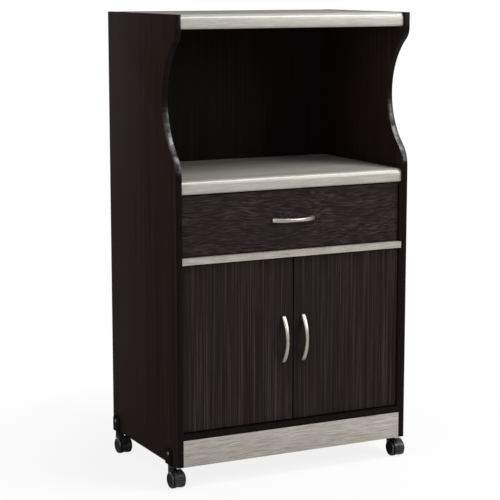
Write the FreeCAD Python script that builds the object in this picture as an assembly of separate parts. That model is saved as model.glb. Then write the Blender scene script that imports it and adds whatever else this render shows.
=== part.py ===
"""Microwave stand with a drawer, a two-door cupboard and twin-wheel casters.

Millimetres. +X is right, -Y is the front, +Z is up. The origin is on the floor, under the
middle of the stand's box. Each piece is a solid in its own STEP file.
"""
import FreeCAD, Part
import math
import os

from FreeCAD import Vector

# ---------------------------------------------------------------- driving dimensions
# Case, built from boards between two side panels
case_width = 610.0
case_depth = 394.0
panel_thickness = 15.0
board_thickness = 15.0
kick_height = 63.5
cupboard_height = 395.0          # between the bottom board and the divider
drawer_bay_height = 161.5        # between the divider and the oven shelf
oven_bay_height = 356.0          # between the oven shelf and the top board
panel_rim = 1.0                  # side panels stand this far above the top board
edge_round = 0.8                 # eased long edges of the doors and the drawer front

# Waist in the front edge of each side panel: three tangent arcs
waist_depth = 75.0
waist_lower_radius = 74.0
waist_upper_radius = 36.0
waist_start_above_shelf = 5.0
waist_end_below_nosing = 2.0

# Nosing along the front of the top board and the oven shelf
nosing_height = 32.0
nosing_depth = 26.0
nosing_setback = 4.7
nosing_top_radius = 12.0
nosing_bottom_radius = 6.3

# Back panels, held in grooves
back_thickness = 3.0
back_inset = 8.0                 # from the rear edge to the back panel's rear face
groove_depth = 4.0
groove_clearance = 0.1
back_joint_gap = 0.5             # between the upper and the lower back panel
back_top_drop = 0.2              # back panel below the top of the side panels

# Doors and drawer front, set in between the side panels
door_thickness = 15.0
door_setback = 9.5
door_side_gap = 3.0
door_middle_gap = 3.0
door_end_gap = 2.0
drawer_front_thickness = 15.0
drawer_front_setback = 11.0
drawer_front_side_gap = 4.0
drawer_front_bottom_gap = 2.5
drawer_front_top_gap = 2.5

# Drawer box
drawer_wall = 12.0
drawer_side_height = 110.0
drawer_rear_gap = 19.0           # from the drawer box to the back panel
drawer_bottom_thickness = 3.0
drawer_bottom_rise = 8.0         # groove above the lower edge of the drawer side
drawer_travel = 250.0

# Roller runners
runner_space = 12.5              # between a side panel and the drawer side
runner_gauge = 1.2
runner_height = 22.0
runner_lift = 6.0                # runner above the divider
runner_front_gap = 3.0           # behind the drawer front
runner_rear_gap = 18.0           # in front of the back panel
runner_flange = 9.5
runner_tongue = 26.0             # flangeless end that carries the roller
runner_bend = 0.6
drawer_runner_drop = 2.0         # drawer side's lower edge above the runner's lower edge
drawer_flange_reach = 3.0        # from the side panel to the tip of the drawer runner
drawer_flange_level = 18.4       # its running face above the cabinet runner's lower edge
roller_radius = 9.0
roller_width = 6.0
roller_offset = 2.6              # from the side panel to the roller
roller_end_inset = 13.0
roller_gap = 0.2                 # between a roller and the flange that runs on it
rivet_radius = 2.5
rivet_head_radius = 4.0
rivet_head_height = 0.8
rivet_end_play = 0.2
running_clearance = 0.08         # radial, of every turning fit

# Adjustable shelf and its pins
shelf_height_in_cupboard = 190.0
shelf_side_gap = 1.0
shelf_front_inset = 52.0
shelf_back_gap = 3.0
shelf_pin_radius = 2.5
shelf_pin_embed = 8.0
shelf_pin_reach = 9.0
shelf_pin_pad_width = 10.0
shelf_pin_pad_thickness = 2.5
shelf_pin_inset = 45.0

# Cam locks that join the boards to the side panels
cam_radius = 7.5
cam_height = 12.0
cam_from_end = 34.0
cam_from_edge = 60.0
cam_slot_width = 1.6
cam_slot_depth = 2.0
cam_bolt_radius = 3.0
cam_bolt_embed = 9.0
fastener_clearance = 0.1

# Arched pull handles
handle_length = 113.0
handle_projection = 25.0
handle_thickness = 5.5
handle_foot_length = 13.5
handle_end_width = 11.0
handle_middle_width = 8.6
handle_edge_radius = 1.9
handle_hole_spacing = 96.0
handle_from_gap = 24.5           # from a door's free edge to the handle's middle
screw_radius = 2.0
screw_grip = 5.5                 # screw inside the handle's foot
screw_head_radius = 4.2
screw_head_height = 2.2
screw_head_round = 1.2

# Concealed hinges: one pivot pin in a cup, and a cranked arm on a plate
hinge_inset = 80.0               # from a door's end to the hinge
cup_radius = 17.4
cup_depth = 11.8
cup_wall = 0.8
cup_from_edge = 21.5
cup_flange_thickness = 1.0
cup_flange_length = 52.0
cup_flange_width = 19.0
cup_rim_radius = 18.6
pivot_from_edge = 9.5
pivot_from_face = 6.4
pivot_radius = 1.1
pivot_eye_radius = 2.1
pivot_half_length = 10.4
ear_half_width = 2.9
ear_top = 2.8
ear_start = 5.6
arm_gauge = 2.0
arm_half_width = 5.0
arm_reach = 13.0                 # crank, from the pin into the cup
arm_dip = 2.6
arm_clear_height = 14.4          # arm's middle behind the pin, past the door's corner
arm_bend = 1.2
arm_end = 56.0
plate_gauge = 1.5
plate_start = 19.0
plate_half_height = 15.0
plate_corner = 4.0
door_opening_angle = 95.0

# Casters: a bracket on the side panel, a swivelling hood and two wheels
caster_height = 50.0             # floor to the underside of the bracket
bracket_thickness = 3.0
bracket_width = 37.0
bracket_flange_height = 36.0
bracket_corner = 9.0
bracket_screw_height = 24.0
bracket_screw_length = 12.0
front_caster_inset = 48.0        # from the front edge of the side panel to the stem
rear_caster_inset = 23.0
caster_trail = 22.0
wheel_radius = 20.0
wheel_gap = 9.0                  # between the two wheels
wheel_width = 14.0
wheel_tread_width = 8.5
wheel_edge_round = 0.8
wheel_cap_radius = 9.5
wheel_cap_step = 0.8
wheel_pocket_inner = 6.0
wheel_pocket_outer = 16.5
wheel_pocket_depth = 4.5
axle_radius = 3.0
axle_half_length = 16.0
hood_web_clearance = 0.5
hood_web_radius = 16.0
fender_gap = 0.8
fender_thickness = 2.0
fender_half_width = 12.5
fender_low_angle = -38.0         # from the horizontal, at the front
fender_high_angle = 128.0        # over the top, towards the stem
hood_boss_radius = 10.5
hood_boss_bottom = 12.0
hood_top_gap = 0.3
hood_dimple_radius = 1.5
hood_dimple_spacing = 9.0
hood_dimple_angle = 52.0
hood_slot_angle = 18.0
hood_slot_length = 9.0
hood_slot_width = 2.4
hood_mark_depth = 1.1
stem_radius = 4.0
stem_depth = 20.0
stem_head_radius = 5.0
stem_head_height = 1.6
stem_head_play = 0.1
stem_recess_radius = 5.7
stem_recess_depth = 3.0

# ---------------------------------------------------------------- levels and planes
case_bottom = caster_height + bracket_thickness
kick_top = case_bottom + kick_height
cupboard_floor = kick_top + board_thickness
divider_bottom = cupboard_floor + cupboard_height
divider_top = divider_bottom + board_thickness
oven_shelf_bottom = divider_top + drawer_bay_height
oven_shelf_top = oven_shelf_bottom + board_thickness
top_board_bottom = oven_shelf_top + oven_bay_height
top_level = top_board_bottom + board_thickness
panel_top = top_level + panel_rim

front_overhang = handle_projection - min(door_setback, drawer_front_setback)
case_front = (front_overhang - case_depth) / 2
case_back = case_front + case_depth
half_width = case_width / 2
inner_half = half_width - panel_thickness
nosing_back = case_front + nosing_setback + nosing_depth
back_panel_rear = case_back - back_inset
back_panel_front = back_panel_rear - back_thickness

door_front = case_front + door_setback
door_back = door_front + door_thickness
door_bottom = cupboard_floor + door_end_gap
door_top = divider_bottom - door_end_gap
door_outer_x = inner_half - door_side_gap
door_inner_x = door_middle_gap / 2
hinge_levels = (door_bottom + hinge_inset, door_top - hinge_inset)
handle_x = door_inner_x + handle_from_gap

drawer_front_face = case_front + drawer_front_setback
drawer_front_back = drawer_front_face + drawer_front_thickness
drawer_front_bottom = divider_top + drawer_front_bottom_gap
drawer_front_top = oven_shelf_top - nosing_height - drawer_front_top_gap
drawer_front_half = inner_half - drawer_front_side_gap
runner_bottom = divider_top + runner_lift
runner_front = drawer_front_back + runner_front_gap
runner_rear = back_panel_front - runner_rear_gap
drawer_side_bottom = runner_bottom + drawer_runner_drop
drawer_side_top = drawer_side_bottom + drawer_side_height
drawer_box_half = inner_half - runner_space
drawer_box_back = back_panel_front - drawer_rear_gap
drawer_floor_bottom = drawer_side_bottom + drawer_bottom_rise
drawer_floor_top = drawer_floor_bottom + drawer_bottom_thickness
cabinet_roller_y = runner_front + roller_end_inset
cabinet_roller_z = runner_bottom + drawer_flange_level - roller_gap - roller_radius
drawer_roller_y = runner_rear - roller_end_inset
drawer_roller_z = runner_bottom + runner_gauge + roller_gap + roller_radius

shelf_bottom = cupboard_floor + shelf_height_in_cupboard
shelf_front = case_front + shelf_front_inset
shelf_back = back_panel_front - shelf_back_gap

pivot_x = door_outer_x - pivot_from_edge
pivot_y = door_front + pivot_from_face

stem_x = half_width - panel_thickness / 2
stem_y = {"front": case_front + front_caster_inset, "rear": case_back - rear_caster_inset}
axle_z = wheel_radius
hood_web_half = wheel_gap / 2 - hood_web_clearance
fender_inner = wheel_radius + fender_gap
fender_outer = fender_inner + fender_thickness

ORIGIN = Vector(0, 0, 0)
X, Y, Z = Vector(1, 0, 0), Vector(0, 1, 0), Vector(0, 0, 1)


# ---------------------------------------------------------------- building helpers
def slab(x0, x1, y0, y1, z0, z1):
    """A box between two corners."""
    return Part.makeBox(x1 - x0, y1 - y0, z1 - z0, Vector(x0, y0, z0))


def rod(radius, start, direction, length):
    """A cylinder from a point along a direction."""
    return Part.makeCylinder(radius, length, start, direction)


def mirrored(shape):
    """The same piece on the other side of the stand."""
    return shape.mirror(ORIGIN, X)


def moved(shape, x=0.0, y=0.0, z=0.0):
    """A copy at another place."""
    copy = shape.copy()
    copy.translate(Vector(x, y, z))
    return copy


def fused(shapes):
    """One solid from several that touch or overlap."""
    return shapes[0].multiFuse(shapes[1:]).removeSplitter()


def in_yz(a, b):
    """Outline coordinates on the side of the stand."""
    return Vector(0, a, b)


def in_xz(a, b):
    """Outline coordinates on the front of the stand."""
    return Vector(a, 0, b)


def in_xy(a, b):
    """Outline coordinates on the plan of the stand."""
    return Vector(a, b, 0)


def outline(corners, place):
    """A face from (a, b, radius) corners, each rounded by a tangent arc of its radius."""
    count = len(corners)
    bends = []
    for index, (a, b, radius) in enumerate(corners):
        corner = Vector(a, b, 0)
        before = Vector(*corners[index - 1][:2], 0) - corner
        after = Vector(*corners[(index + 1) % count][:2], 0) - corner
        before.normalize()
        after.normalize()
        half_angle = before.getAngle(after) / 2
        reach = radius / math.tan(half_angle)
        bisector = (before + after).normalize() if radius else Vector()
        middle = corner + bisector * (radius / math.sin(half_angle) - radius)
        bends.append((corner + before * reach, middle, corner + after * reach, radius))
    edges = []
    for index, (start, middle, end, radius) in enumerate(bends):
        if radius:
            points = [place(p.x, p.y) for p in (start, middle, end)]
            edges.append(Part.Arc(*points).toShape())
        following = bends[(index + 1) % count][0]
        if (following - end).Length > 1e-6:
            edges.append(Part.makeLine(place(end.x, end.y), place(following.x, following.y)))
    return Part.Face(Part.Wire(edges))


def sheet_section(path, gauge, inside_radius, place):
    """The section of a bent sheet whose middle follows a path of (a, b) points."""
    points = [Vector(a, b, 0) for a, b in path]
    runs = [(end - start).normalize() for start, end in zip(points, points[1:])]
    normals = [Vector(-run.y, run.x, 0) for run in runs]
    left, right = [], []
    for index, point in enumerate(points):
        first = normals[max(index - 1, 0)]
        second = normals[min(index, len(normals) - 1)]
        offset = (first + second) * (gauge / 2 / (1 + first.dot(second)))
        at_end = index in (0, len(points) - 1)
        turn = 0.0 if at_end else runs[index - 1].cross(runs[index]).z
        left_radius = 0.0 if at_end else inside_radius + (gauge if turn < 0 else 0.0)
        right_radius = 0.0 if at_end else inside_radius + (gauge if turn > 0 else 0.0)
        left.append((point.x + offset.x, point.y + offset.y, left_radius))
        right.append((point.x - offset.x, point.y - offset.y, right_radius))
    return outline(left + right[::-1], place)


def arc_about(centre, start, end, place):
    """The short arc from start to end about a centre, all given as (a, b)."""
    middle = Vector(*start, 0) + Vector(*end, 0) - Vector(*centre, 0) * 2
    radius = math.dist(centre, start)
    middle = Vector(*centre, 0) + middle.normalize() * radius
    return Part.Arc(place(*start), place(middle.x, middle.y), place(*end)).toShape()


def pan_screw(shank_length, shank_radius):
    """A pan-head screw along +Y, with the underside of its head at the origin."""
    head = rod(screw_head_radius, ORIGIN, -Y, screw_head_height)
    rim = [edge for edge in head.Edges if edge.BoundBox.YMax < -screw_head_height / 2]
    head = head.makeFillet(screw_head_round, rim)
    return head.fuse(rod(shank_radius, ORIGIN, Y, shank_length)).removeSplitter()


# ---------------------------------------------------------------- case
def waist_edges():
    """The side panel's front edge from the oven shelf to the top, as tangent arcs."""
    start = oven_shelf_top + waist_start_above_shelf
    end = top_level - nosing_height - waist_end_below_nosing
    span = end - start
    lower = 2 * waist_depth * waist_lower_radius - waist_depth ** 2
    upper = 2 * waist_depth * waist_upper_radius - waist_depth ** 2
    rise = (span + (lower - upper) / span) / 2
    radius = (rise ** 2 - lower) / (2 * waist_depth)
    centre = (case_front + waist_depth - radius, start + rise)
    low_centre = (case_front + waist_lower_radius, start)
    high_centre = (case_front + waist_upper_radius, end)

    def between(blend_centre, blend_radius):
        share = blend_radius / (blend_radius + radius)
        return tuple(b + (c - b) * share for b, c in zip(blend_centre, centre))

    low_joint = between(low_centre, waist_lower_radius)
    high_joint = between(high_centre, waist_upper_radius)
    return (case_front, start), (case_front, end), [
        arc_about(low_centre, (case_front, start), low_joint, in_yz),
        arc_about(centre, low_joint, high_joint, in_yz),
        arc_about(high_centre, high_joint, (case_front, end), in_yz),
    ]


def cam_places():
    """Where the cam locks sit in each board: (underside, front edge, rear edge)."""
    return [
        (kick_top, case_front, case_back),
        (divider_bottom, case_front, back_panel_front),
        (oven_shelf_bottom, nosing_back, back_panel_front),
        (top_board_bottom, nosing_back, back_panel_front),
    ]


def cam_rows(front, rear):
    """The two cam locks at one end of a board, front and rear."""
    return front + cam_from_edge, rear - cam_from_edge


def side_panel_left():
    """The left side panel with its waist, groove and drilled holes."""
    start, end, waist = waist_edges()
    lines = [
        ((case_front, case_bottom), start),
        (end, (case_front, panel_top)),
        ((case_front, panel_top), (case_back, panel_top)),
        ((case_back, panel_top), (case_back, case_bottom)),
        ((case_back, case_bottom), (case_front, case_bottom)),
    ]
    edges = [Part.makeLine(in_yz(*a), in_yz(*b)) for a, b in lines]
    wire = Part.Wire(Part.__sortEdges__(edges + waist))
    panel = Part.Face(wire).extrude(X * panel_thickness)
    panel = moved(panel, x=-half_width)
    cuts = [back_groove_space(-inner_half - groove_depth, -inner_half)]
    for y in stem_y.values():
        cuts.append(rod(stem_recess_radius, Vector(-stem_x, y, case_bottom), Z, stem_recess_depth))
        level = case_bottom + bracket_screw_height
        pilot = bracket_screw_length - bracket_thickness + fastener_clearance
        cuts.append(rod(screw_radius + fastener_clearance, Vector(-half_width, y, level), X, pilot))
    for y in shelf_pin_rows():
        level = shelf_bottom - shelf_pin_pad_thickness
        hole = Vector(-inner_half, y, level)
        depth = shelf_pin_embed + fastener_clearance
        cuts.append(rod(shelf_pin_radius + fastener_clearance, hole, -X, depth))
    for underside, front, rear in cam_places():
        for y in cam_rows(front, rear):
            hole = Vector(-inner_half, y, underside + board_thickness / 2)
            depth = cam_bolt_embed + fastener_clearance
            cuts.append(rod(cam_bolt_radius + fastener_clearance, hole, -X, depth))
    return panel.cut(cuts)


def back_groove_space(x0, x1):
    """The groove for the back panels, which is open at the top, where they slide in."""
    bottom = cupboard_floor - groove_depth
    top = panel_top + groove_depth
    rear = back_panel_rear + groove_clearance
    return slab(x0, x1, back_panel_front - groove_clearance, rear, bottom, top)


def case_board(underside, front, rear):
    """A board between the side panels, drilled for its cam locks and their bolts."""
    board = slab(-inner_half, inner_half, front, rear, underside, underside + board_thickness)
    cuts = [back_groove_space(-inner_half, inner_half)]
    for y in cam_rows(front, rear):
        for side in (-1, 1):
            centre = Vector(side * (inner_half - cam_from_end), y, underside)
            cuts.append(rod(cam_radius + fastener_clearance, centre, Z, cam_height))
            end = Vector(side * inner_half, y, underside + board_thickness / 2)
            cuts.append(rod(cam_bolt_radius + fastener_clearance, end, X * -side, cam_from_end))
    return board.cut(cuts)


def cam_lock(side, y, underside):
    """A slotted cam and the bolt that it pulls, as two solids."""
    centre = Vector(side * (inner_half - cam_from_end), y, underside)
    level = underside + board_thickness / 2
    bolt_end = Vector(side * (inner_half + cam_bolt_embed), y, level)
    bolt_length = cam_bolt_embed + cam_from_end
    cam = rod(cam_radius, centre, Z, cam_height - fastener_clearance)
    half = cam_slot_width / 2
    slot = slab(centre.x - cam_radius, centre.x + cam_radius, y - half, y + half,
                underside, underside + cam_slot_depth)
    bolt_hole = rod(cam_bolt_radius + fastener_clearance, bolt_end, X * -side,
                    bolt_length + fastener_clearance)
    return [cam.cut([slot, bolt_hole]), rod(cam_bolt_radius, bolt_end, X * -side, bolt_length)]


def nosing(top):
    """A rounded rail along the front of a board, flush with the board's top."""
    front = case_front + nosing_setback
    section = outline([
        (nosing_back, top, 0.0),
        (nosing_back, top - nosing_height, 0.0),
        (front, top - nosing_height, nosing_bottom_radius),
        (front, top, nosing_top_radius),
    ], in_yz)
    return moved(section.extrude(X * (2 * inner_half)), x=-inner_half)


def back_panel(bottom, top):
    """A thin panel in the grooves of the side panels."""
    half = inner_half + groove_depth - groove_clearance
    return slab(-half, half, back_panel_front, back_panel_rear, bottom, top)


def shelf_pin_rows():
    """The front and the rear row of shelf pins."""
    return shelf_front + shelf_pin_inset, shelf_back - shelf_pin_inset


def shelf_pin(side, y):
    """A peg in the side panel with a flat pad under the shelf."""
    level = shelf_bottom - shelf_pin_pad_thickness
    peg = rod(shelf_pin_radius, Vector(side * (inner_half + shelf_pin_embed), y, level),
              X * -side, shelf_pin_embed + shelf_pin_reach)
    tip, root = sorted((side * (inner_half - shelf_pin_reach), side * inner_half))
    pad_half = shelf_pin_pad_width / 2
    pad = slab(tip, root, y - pad_half, y + pad_half, level, shelf_bottom)
    below_shelf = slab(-half_width, half_width, case_front, case_back, case_bottom, shelf_bottom)
    return fused([peg, pad]).common(below_shelf)


# ---------------------------------------------------------------- handles and screws
def arched_handle():
    """A bow handle along Z on the plane Y = 0, with its arch towards -Y."""
    half = handle_length / 2
    inner_half_length = half - handle_foot_length
    bow = Part.Face(Part.Wire([
        Part.Arc(in_yz(0, -half), in_yz(-handle_projection, 0), in_yz(0, half)).toShape(),
        Part.makeLine(in_yz(0, half), in_yz(0, inner_half_length)),
        Part.Arc(in_yz(0, inner_half_length), in_yz(handle_thickness - handle_projection, 0),
                 in_yz(0, -inner_half_length)).toShape(),
        Part.makeLine(in_yz(0, -inner_half_length), in_yz(0, -half)),
    ]))
    side_view = moved(bow.extrude(X * handle_end_width), x=-handle_end_width / 2)
    wide, narrow = handle_end_width / 2, handle_middle_width / 2
    front_view = Part.Face(Part.Wire([
        Part.Arc(in_xz(wide, -half), in_xz(narrow, 0), in_xz(wide, half)).toShape(),
        Part.makeLine(in_xz(wide, half), in_xz(-wide, half)),
        Part.Arc(in_xz(-wide, half), in_xz(-narrow, 0), in_xz(-wide, -half)).toShape(),
        Part.makeLine(in_xz(-wide, -half), in_xz(wide, -half)),
    ])).extrude(Y * -handle_projection)
    handle = side_view.common(front_view)
    long_edges = [edge for edge in handle.Edges
                  if edge.BoundBox.ZLength > handle_length / 2 and edge.BoundBox.YLength > 1]
    handle = handle.makeFillet(handle_edge_radius, long_edges)
    for z in handle_hole_levels():
        bore = rod(screw_radius + fastener_clearance, Vector(0, 0, z), -Y,
                   screw_grip + fastener_clearance)
        handle = handle.cut(bore)
    return handle


def handle_hole_levels():
    """The two screw positions, from the middle of the handle."""
    return -handle_hole_spacing / 2, handle_hole_spacing / 2


def handle_screw(thickness):
    """A screw along -Y whose head bears on the back of a front of this thickness."""
    screw = pan_screw(thickness + screw_grip, screw_radius)
    screw.rotate(ORIGIN, Z, 180)
    return screw


def quarter_turned(shape):
    """A piece that stood along Z, laid along X."""
    copy = shape.copy()
    copy.rotate(ORIGIN, Y, 90)
    return copy


# ---------------------------------------------------------------- doors and hinges
def eased(board, front):
    """A board whose four front edges are slightly rounded."""
    edges = [edge for edge in board.Edges
             if edge.BoundBox.YMax < front + edge_round / 2]
    return board.makeFillet(edge_round, edges)


def door_left():
    """The left door, bored for its hinge cups and handle screws."""
    door = slab(-door_outer_x, -door_inner_x, door_front, door_back, door_bottom, door_top)
    door = eased(door, door_front)
    cuts = []
    cup_x = -door_outer_x + cup_from_edge
    for level in hinge_levels:
        bore = Vector(cup_x, door_back, level)
        cuts.append(rod(cup_radius + fastener_clearance, bore, -Y, cup_depth + fastener_clearance))
    for offset in handle_hole_levels():
        hole = Vector(-handle_x, door_front, (door_bottom + door_top) / 2 + offset)
        cuts.append(rod(screw_radius + fastener_clearance, hole, Y, door_thickness))
    return door.cut(cuts)


def hinge_cup():
    """A flanged cup with two ears. The pivot is at the origin, +X is into the left door."""
    centre_x = cup_from_edge - pivot_from_edge
    mouth = door_thickness - pivot_from_face
    bottom = mouth - cup_depth
    shell = rod(cup_radius, Vector(centre_x, bottom, 0), Y, cup_depth)
    rim = rod(cup_rim_radius, Vector(centre_x, mouth, 0), Y, cup_flange_thickness)
    half_wide, half_long = cup_flange_width / 2, cup_flange_length / 2
    corner = half_wide * 0.9
    wings = outline([
        (centre_x - half_wide, -half_long, corner), (centre_x + half_wide, -half_long, corner),
        (centre_x + half_wide, half_long, corner), (centre_x - half_wide, half_long, corner),
    ], in_xz).extrude(Y * cup_flange_thickness)
    body = fused([shell, rim, moved(wings, y=mouth)])
    hollow_radius = cup_radius - cup_wall
    floor = Vector(centre_x, bottom + cup_wall, 0)
    body = body.cut(rod(hollow_radius, floor, Y, cup_depth + cup_flange_thickness))
    inside_shell = rod(cup_radius - cup_wall / 2, Vector(centre_x, bottom + cup_wall / 2, 0), Y,
                       cup_depth)
    ears = []
    for z0, z1 in ((ear_start, cup_radius), (-cup_radius, -ear_start)):
        ear = slab(-ear_half_width, ear_half_width, bottom + cup_wall / 2, ear_top, z0, z1)
        ears.append(ear.common(inside_shell))
    body = fused([body] + ears)
    pin_hole_half = pivot_half_length + fastener_clearance
    return body.cut(rod(pivot_radius + running_clearance, Vector(0, 0, -pin_hole_half), Z,
                        2 * pin_hole_half))


def hinge_arm():
    """The cranked arm, its pivot pin and its plate, in the same place as hinge_cup."""
    panel_x = -(door_side_gap + pivot_from_edge)
    arm_x = panel_x + plate_gauge + arm_gauge / 2
    path = [(0, 0), (arm_reach, arm_dip), (arm_reach, arm_clear_height),
            (arm_x, arm_clear_height), (arm_x, arm_end)]
    strap = sheet_section(path, arm_gauge, arm_bend, in_xy).extrude(Z * (2 * arm_half_width))
    strap = moved(strap, z=-arm_half_width)
    eye = rod(pivot_eye_radius, Vector(0, 0, -arm_half_width), Z, 2 * arm_half_width)
    pin = rod(pivot_radius, Vector(0, 0, -pivot_half_length), Z, 2 * pivot_half_length)
    plate = outline([
        (plate_start, -plate_half_height, plate_corner),
        (arm_end, -plate_half_height, plate_corner),
        (arm_end, plate_half_height, plate_corner),
        (plate_start, plate_half_height, plate_corner),
    ], in_yz).extrude(X * plate_gauge)
    return fused([strap, eye, pin, moved(plate, x=panel_x)])


def at_left_hinges(shape):
    """Copies of a hinge piece at both levels of the left door."""
    return [moved(shape, -pivot_x, pivot_y, level) for level in hinge_levels]


# ---------------------------------------------------------------- drawer and runners
def drawer_front():
    """The drawer front, grooved for the drawer's floor and bored for the handle screws."""
    front = slab(-drawer_front_half, drawer_front_half, drawer_front_face, drawer_front_back,
                 drawer_front_bottom, drawer_front_top)
    front = eased(front, drawer_front_face)
    middle = (drawer_front_bottom + drawer_front_top) / 2
    cuts = [drawer_floor(groove_clearance)]
    for offset in handle_hole_levels():
        hole = Vector(offset, drawer_front_face, middle)
        cuts.append(rod(screw_radius + fastener_clearance, hole, Y, drawer_front_thickness))
    return front.cut(cuts)


def drawer_floor(clearance=0.0):
    """The drawer's floor panel, or with a clearance the groove that holds it."""
    half = drawer_box_half - drawer_wall + groove_depth - groove_clearance + clearance
    front = drawer_front_back - groove_depth + groove_clearance - clearance
    return slab(-half, half, front, drawer_box_back + clearance,
                drawer_floor_bottom - clearance, drawer_floor_top + clearance)


def drawer_side_left():
    """The left side of the drawer box, grooved for the floor."""
    side = slab(-drawer_box_half, drawer_wall - drawer_box_half, drawer_front_back,
                drawer_box_back, drawer_side_bottom, drawer_side_top)
    return side.cut(drawer_floor(groove_clearance))


def drawer_back():
    """The back of the drawer box, standing on the floor panel."""
    half = drawer_box_half - drawer_wall
    return slab(-half, half, drawer_box_back - drawer_wall, drawer_box_back,
                drawer_floor_top, drawer_side_top)


def along_y(section, y0, y1):
    """A section on the front plane, drawn out between two depths."""
    return moved(section.extrude(Y * (y1 - y0)), y=y0)


def rivet(start_x, direction, y, z):
    """A roller's axle: a shank from the runner's web, and a head past the roller."""
    roller_end = roller_offset + roller_width if direction > 0 else roller_offset
    head_x = -inner_half + roller_end + direction * rivet_end_play
    shank = rod(rivet_radius, Vector(start_x, y, z), X * direction, abs(head_x - start_x))
    head = rod(rivet_head_radius, Vector(head_x, y, z), X * direction, rivet_head_height)
    return shank.fuse(head)


def cabinet_runner_left():
    """A channel on the side panel, whose front tongue carries a roller's axle."""
    half = runner_gauge / 2
    web_x = -inner_half + half
    tip_x = -inner_half + runner_flange
    low, high = runner_bottom + half, runner_bottom + runner_height - half
    section = sheet_section([(tip_x, high), (web_x, high), (web_x, low), (tip_x, low)],
                            runner_gauge, runner_bend, in_xz)
    channel = along_y(section, runner_front, runner_rear)
    tongue = slab(-inner_half + runner_gauge, 0, runner_front, runner_front + runner_tongue,
                  runner_bottom, runner_bottom + runner_height)
    channel = channel.cut(tongue)
    axle = rivet(-inner_half + runner_gauge, 1, cabinet_roller_y, cabinet_roller_z)
    return fused([channel, axle])


def drawer_runner_left():
    """A stepped rail under the drawer side, whose rear end carries a roller's axle."""
    half = runner_gauge / 2
    tip_x = -inner_half + drawer_flange_reach
    web_x = -drawer_box_half - half
    inner_x = -drawer_box_half + drawer_wall
    high = runner_bottom + drawer_flange_level + half
    low = drawer_side_bottom - half
    section = sheet_section([(tip_x, high), (web_x, high), (web_x, low), (inner_x, low)],
                            runner_gauge, 0.0, in_xz)
    rail = along_y(section, runner_front, runner_rear)
    tail = slab(-inner_half, -drawer_box_half - runner_gauge, runner_rear - runner_tongue,
                runner_rear, runner_bottom, runner_bottom + runner_height)
    rail = rail.cut(tail)
    axle = rivet(-drawer_box_half - runner_gauge, -1, drawer_roller_y, drawer_roller_z)
    return fused([rail, axle])


def roller_left(y, z):
    """A roller on its axle, between the side panel and the drawer."""
    start = Vector(-inner_half + roller_offset, y, z)
    tyre = rod(roller_radius, start, X, roller_width)
    rims = [edge for edge in tyre.Edges if edge.BoundBox.XLength < 1e-6]
    tyre = tyre.makeChamfer(0.5, rims)
    return tyre.cut(rod(rivet_radius + running_clearance, start, X, roller_width))


# ---------------------------------------------------------------- casters
def caster_bracket_left():
    """An angle under and outside the left side panel, around a stem at x = 0, y = 0."""
    outer_x = -panel_thickness / 2
    half = bracket_thickness / 2
    path = [(panel_thickness / 2, case_bottom - half), (outer_x - half, case_bottom - half),
            (outer_x - half, case_bottom + bracket_flange_height)]
    angle = along_y(sheet_section(path, bracket_thickness, 0.0, in_xz),
                    -bracket_width / 2, bracket_width / 2)
    corners = [edge for edge in angle.Edges
               if edge.BoundBox.ZMin > case_bottom + bracket_flange_height - 1e-3
               and edge.BoundBox.XLength > half]
    angle = angle.makeFillet(bracket_corner, corners)
    stem_hole = rod(stem_radius + running_clearance, Vector(0, 0, 0), Z, case_bottom)
    screw_hole = rod(screw_radius + fastener_clearance,
                     Vector(outer_x - bracket_thickness, 0, case_bottom + bracket_screw_height),
                     X, bracket_thickness)
    return angle.cut([stem_hole, screw_hole])


def caster_screw_left():
    """The screw through the bracket into the left side panel, about a stem at x = 0, y = 0."""
    screw = pan_screw(bracket_screw_length, screw_radius)
    screw.rotate(ORIGIN, Z, -90)
    return moved(screw, x=-panel_thickness / 2 - bracket_thickness,
                 z=case_bottom + bracket_screw_height)


def around_axle(angle, radius):
    """A point on a circle about the axle: 0 degrees is the front, 90 the top."""
    turn = math.radians(angle)
    return (-caster_trail - radius * math.cos(turn), axle_z + radius * math.sin(turn))


def hood_sector(inner, outer, half_width_x):
    """A ring sector about the axle over the fender's angles."""
    middle_angle = (fender_low_angle + fender_high_angle) / 2
    marks = (fender_low_angle, middle_angle, fender_high_angle)
    rim = [in_yz(*around_axle(angle, outer)) for angle in marks]
    hub = [in_yz(*around_axle(angle, inner)) for angle in marks]
    wire = Part.Wire([
        Part.Arc(*rim).toShape(),
        Part.makeLine(rim[2], hub[2]),
        Part.Arc(*hub[::-1]).toShape(),
        Part.makeLine(hub[0], rim[0]),
    ])
    return moved(Part.Face(wire).extrude(X * (2 * half_width_x)), x=-half_width_x)


def hood():
    """The swivelling hood: a web between the wheels, a fender over them and a stem boss."""
    axle_centre = Vector(0, -caster_trail, axle_z)
    web = rod(hood_web_radius, axle_centre - X * hood_web_half, X, 2 * hood_web_half)
    web_over = hood_sector(hood_web_radius - 2, fender_inner + fender_thickness / 2, hood_web_half)
    fender = hood_sector(fender_inner, fender_outer, fender_half_width)
    top = caster_height - hood_top_gap
    boss = rod(hood_boss_radius, Vector(0, 0, hood_boss_bottom), Z, top - hood_boss_bottom)
    rims = [edge for edge in boss.Edges if edge.BoundBox.ZLength < 1e-6]
    boss = boss.makeFillet(hood_web_clearance * 2, rims)
    wheel_space = [
        rod(fender_inner, axle_centre + X * (side * hood_web_half), X * side, wheel_radius)
        for side in (-1, 1)
    ]
    body = fused([web, web_over, fender, boss.cut(wheel_space)])
    cuts = [
        rod(axle_radius, axle_centre - X * axle_half_length, X, 2 * axle_half_length),
        rod(stem_radius, Vector(0, 0, top - stem_depth), Z, stem_depth),
    ]
    return body.cut(cuts + hood_marks())


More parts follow.
